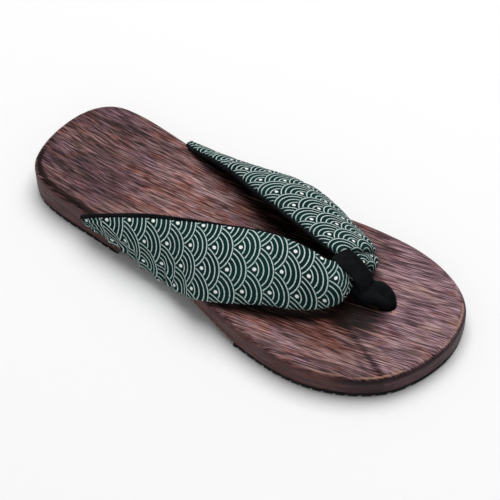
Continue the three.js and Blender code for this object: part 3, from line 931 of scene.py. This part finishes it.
def make_band(board, print_cloth, lining):
    """Padded band: printed cloth outside and black cloth inside"""
    t, middle, normals, along = band_grid()
    lanes = middle.shape[1]
    steps = np.linalg.norm(np.diff(middle, axis=1), axis=2)
    reach = np.hstack([np.zeros((len(t), 1)), np.cumsum(steps, axis=1)])
    share = (reach / reach[:, -1:]).mean(axis=0)
    half = band_value(THICK, t)[:, None] / 2
    plump = np.sqrt(np.clip(1 - np.abs(2 * share - 1) ** 7, 0, 1))[None]
    swell = half * (0.08 + 0.92 * plump)
    outer = middle + normals * (swell + gathers(t, share) * plump)[..., None]
    inner = middle - normals * (swell * 0.9)[..., None]
    ring = np.concatenate([outer, inner[:, -2:0:-1]], axis=1)
    around = ring.shape[1]
    points = ring.reshape(-1, 3)
    band = mesh_piece("strap_band", points, tube_faces(len(t), around))
    # The creases are kept on the band for the painted shade in them
    creased = medial_creases(t, share)
    store(band, "creased", np.hstack([creased, creased[:, -2:0:-1]]).ravel())
    lie_against(band, board, np.arange(len(points)) % around < lanes)

    ahead, across = print_places(t, outer, along)
    loops = band.data.loops
    uv = band.data.uv_layers.new(name="print")
    lane = np.arange(len(points)) % around
    row = np.arange(len(points)) // around
    lane = np.where(lane < lanes, lane, 2 * lanes - 2 - lane)
    index = np.empty(len(loops), int)
    loops.foreach_get("vertex_index", index)
    flat = np.stack([ahead[row[index], lane[index]], across[row[index], lane[index]]], axis=1)
    uv.data.foreach_set("uv", flat.astype(np.float32).ravel())

    band.data.materials.append(print_cloth)
    band.data.materials.append(lining)
    sides = (len(t) - 1) * around
    for k, polygon in enumerate(band.data.polygons):
        if k < sides and k % around >= lanes - 1:
            polygon.material_index = 1
    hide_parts("strap")
    return band


def lie_against(piece, board, outer):
    """Pushes points that are in the board out to its surface, the outer layer a cloth's width more"""
    tree = BVHTree.FromObject(board, bpy.context.evaluated_depsgraph_get())
    points = points_of(piece)
    for k, point in enumerate(points):
        if point[2] > ABOVE_BOARD:
            continue
        near, normal, _, _ = tree.find_nearest(Vector(point * MM))
        depth = (Vector(point * MM) - near).dot(normal) / MM
        wanted = OUTER_CLEARANCE if outer[k] else INNER_CLEARANCE
        if depth < wanted:
            points[k] = np.array(near + normal * (wanted * MM)) / MM
    set_points(piece, points)


def make_edging(lining):
    """The lining's rolled edge along the top of the band, which along the medial arm also stands in for the
    shade under the printed edge
    """
    t, middle, normals, _ = band_grid()
    centre = middle[:, 0] + normals[:, 0] * 0.2
    away = unit(middle[:, 0] - middle[:, 2])
    from_fold = np.abs(t - FOLD_PLACE)
    lateral = smooth_step(-t, -0.5, -0.4)
    medial = 1 - lateral
    # Along the medial arm the roll is thicker and sits under the printed edge: the lining, and a black band
    # standing in for the shade under that edge
    radius = 0.5 + 0.9 * smooth_step(from_fold, 0.2, 0.36) * lateral + 0.9 * medial
    centre = centre + away * (radius * (0.35 - 0.2 * medial))[:, None]
    centre = centre - normals[:, 0] * (0.9 * radius * medial)[:, None]
    turns = np.linspace(0, 2 * math.pi, 10, endpoint=False)
    ring = centre[:, None] + radius[:, None, None] * (
        away[:, None] * np.cos(turns)[None, :, None] + normals[:, 0][:, None] * np.sin(turns)[None, :, None])
    edging = mesh_piece("strap_edging", ring.reshape(-1, 3), tube_faces(len(t), len(turns)))
    tidy_normals(edging)
    edging.data.materials.append(lining)
    return edging


def tidy_normals(piece):
    edit(piece, lambda face: True, "FACE")
    bpy.ops.mesh.normals_make_consistent(inside=False)
    leave_edit()


# The toe thong

def tube_points(centres, along, thick, wide, turns):
    """Rings of a flattened tube, wide across the shoe"""
    side = np.array([0.0, 1.0, 0.0]) - along * along[:, 1:2]
    side = unit(side)
    up = unit(np.cross(along, side))
    c, s = np.cos(turns), np.sin(turns)
    flat_c = np.sign(c) * np.abs(c) ** 0.9
    flat_s = np.sign(s) * np.abs(s) ** 0.9
    return (centres[:, None] + side[:, None] * (wide / 2)[:, None, None] * flat_c[None, :, None]
            + up[:, None] * (thick / 2)[:, None, None] * flat_s[None, :, None])


def make_thong(cloth):
    """Cloth tube that comes out of the hole, bends over and meets its loop round the fold"""
    t = np.linspace(0, 1, 110)
    centres = curve_through([row[0] for row in THONG_STEM], t)
    along = unit(np.gradient(centres, axis=0))
    place = t * (len(THONG_STEM) - 1)
    thick = np.interp(place, range(len(THONG_STEM)), [row[1] for row in THONG_STEM])
    wide = np.interp(place, range(len(THONG_STEM)), [row[2] for row in THONG_STEM])
    turns = np.linspace(0, 2 * math.pi, 64, endpoint=False)
    rings = tube_points(centres, along, thick, wide, turns)
    out = unit(rings - centres[:, None])
    crease = -0.9 * np.exp(-((t[:, None] - 0.73) / 0.03) ** 2) * (0.4 + 0.6 * np.cos(turns - 1.2)[None])
    seam = -0.7 * np.exp(-((turns[None] - 4.4) / 0.16) ** 2) * smooth_step(t, 0.3, 0.45)[:, None]
    soft = soft_noise(t[:, None] * 12, turns[None] * 2 / math.pi, 30) * 0.35
    rings = rings + out * (crease + seam + soft)[..., None]
    stem = mesh_piece("thong_stem", rings.reshape(-1, 3), tube_faces(len(t), len(turns)))
    tidy_normals(stem)
    stem.data.materials.append(cloth)
    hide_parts("toe_thong")
    return stem


def make_loop(cloth):
    """Cloth loop round the fold of the band"""
    turn = np.linspace(0, 2 * math.pi, 120, endpoint=False)
    tilt = math.radians(THONG_LOOP["tilt"])
    long = THONG_LOOP["long"] + THONG_LOOP["thick"] / 2
    high = THONG_LOOP["high"] + THONG_LOOP["thick"] / 2

    def lean(u, w):
        flat = np.zeros_like(u)
        x = u * math.cos(tilt) - w * math.sin(tilt)
        return np.stack([x, flat, u * math.sin(tilt) + w * math.cos(tilt)], axis=1)

    middle = np.array([THONG_LOOP["x"], THONG_LOOP["y"], THONG_LOOP["z"]])
    centres = middle + lean(long * np.cos(turn), high * np.sin(turn))
    along = unit(lean(-long * np.sin(turn), high * np.cos(turn)))
    turns = np.linspace(0, 2 * math.pi, 48, endpoint=False)
    thick = np.full(len(turn), float(THONG_LOOP["thick"]))
    wide = THONG_LOOP["wide"] - 1.2 * np.abs(np.sin(turn))
    rings = tube_points(centres, along, thick, wide, turns)
    out = unit(rings - centres[:, None])
    folds = 0.28 * np.sin(turns * 6)[None] * (0.4 + 0.6 * np.sin(turn * 2 + 0.6)[:, None] ** 2)
    rings = rings + out * folds[..., None]
    loop = mesh_piece("thong_loop", rings.reshape(-1, 3), ring_faces(len(turn), len(turns), closed=True))
    tidy_normals(loop)
    loop.data.materials.append(cloth)
    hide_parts("toe_thong")
    return loop


# Camera, floor and light

def make_camera():
    bpy.ops.object.camera_add(location=CAMERA_PLACE)
    camera = bpy.context.object
    camera.name = "camera"
    aim = Vector(CAMERA_AIM) - Vector(CAMERA_PLACE)
    turn = aim.to_track_quat("-Z", "Y").to_matrix().to_4x4()
    roll = Matrix.Rotation(CAMERA_ROLL, 4, "Z")
    camera.matrix_world = Matrix.Translation(CAMERA_PLACE) @ turn @ roll
    camera.data.sensor_width = SENSOR_WIDTH
    camera.data.lens = CAMERA_LENS
    bpy.context.scene.camera = camera


def make_floor():
    bpy.ops.mesh.primitive_plane_add(size=12, location=(0, 0, -0.0002))
    floor = rest_in_place(added("floor"))
    floor.data.materials.append(pale_floor())


def make_light(name, place, size, power):
    bpy.ops.object.light_add(type="AREA", location=place)
    light = bpy.context.object
    light.name = name
    light.data.size = size
    light.data.energy = power
    light.rotation_euler = (-Vector(place)).to_track_quat("-Z", "Y").to_euler()


def make_lights():
    make_light("high_soft_box", (-0.3, 0.85, 2.6), 2.4, 72)
    make_light("front_fill", (0.9, -1.2, 0.8), 1.2, 1.5)
    world = bpy.data.worlds.new("studio")
    world.use_nodes = True
    world.node_tree.nodes["Background"].inputs["Color"].default_value = (1, 1, 1, 1)
    world.node_tree.nodes["Background"].inputs["Strength"].default_value = 0.27
    bpy.context.scene.world = world
    bpy.context.scene.view_settings.view_transform = "Standard"


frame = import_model()
clear_selection()

board = make_board()
black_rubber = rubber()
heel_sheet = make_sheet("heel_sheet", "heel_pad", black_rubber)
forefoot_sheet = make_sheet("forefoot_sheet", "forefoot_pad", black_rubber)
lining = black_cloth()
band = make_band(board, printed_cloth(), lining)
edging = make_edging(lining)
stem = make_thong(lining)
loop = make_loop(lining)
for piece in (board, heel_sheet, forefoot_sheet, band, edging, stem, loop):
    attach(piece, "root")

make_camera()
make_floor()
make_lights()
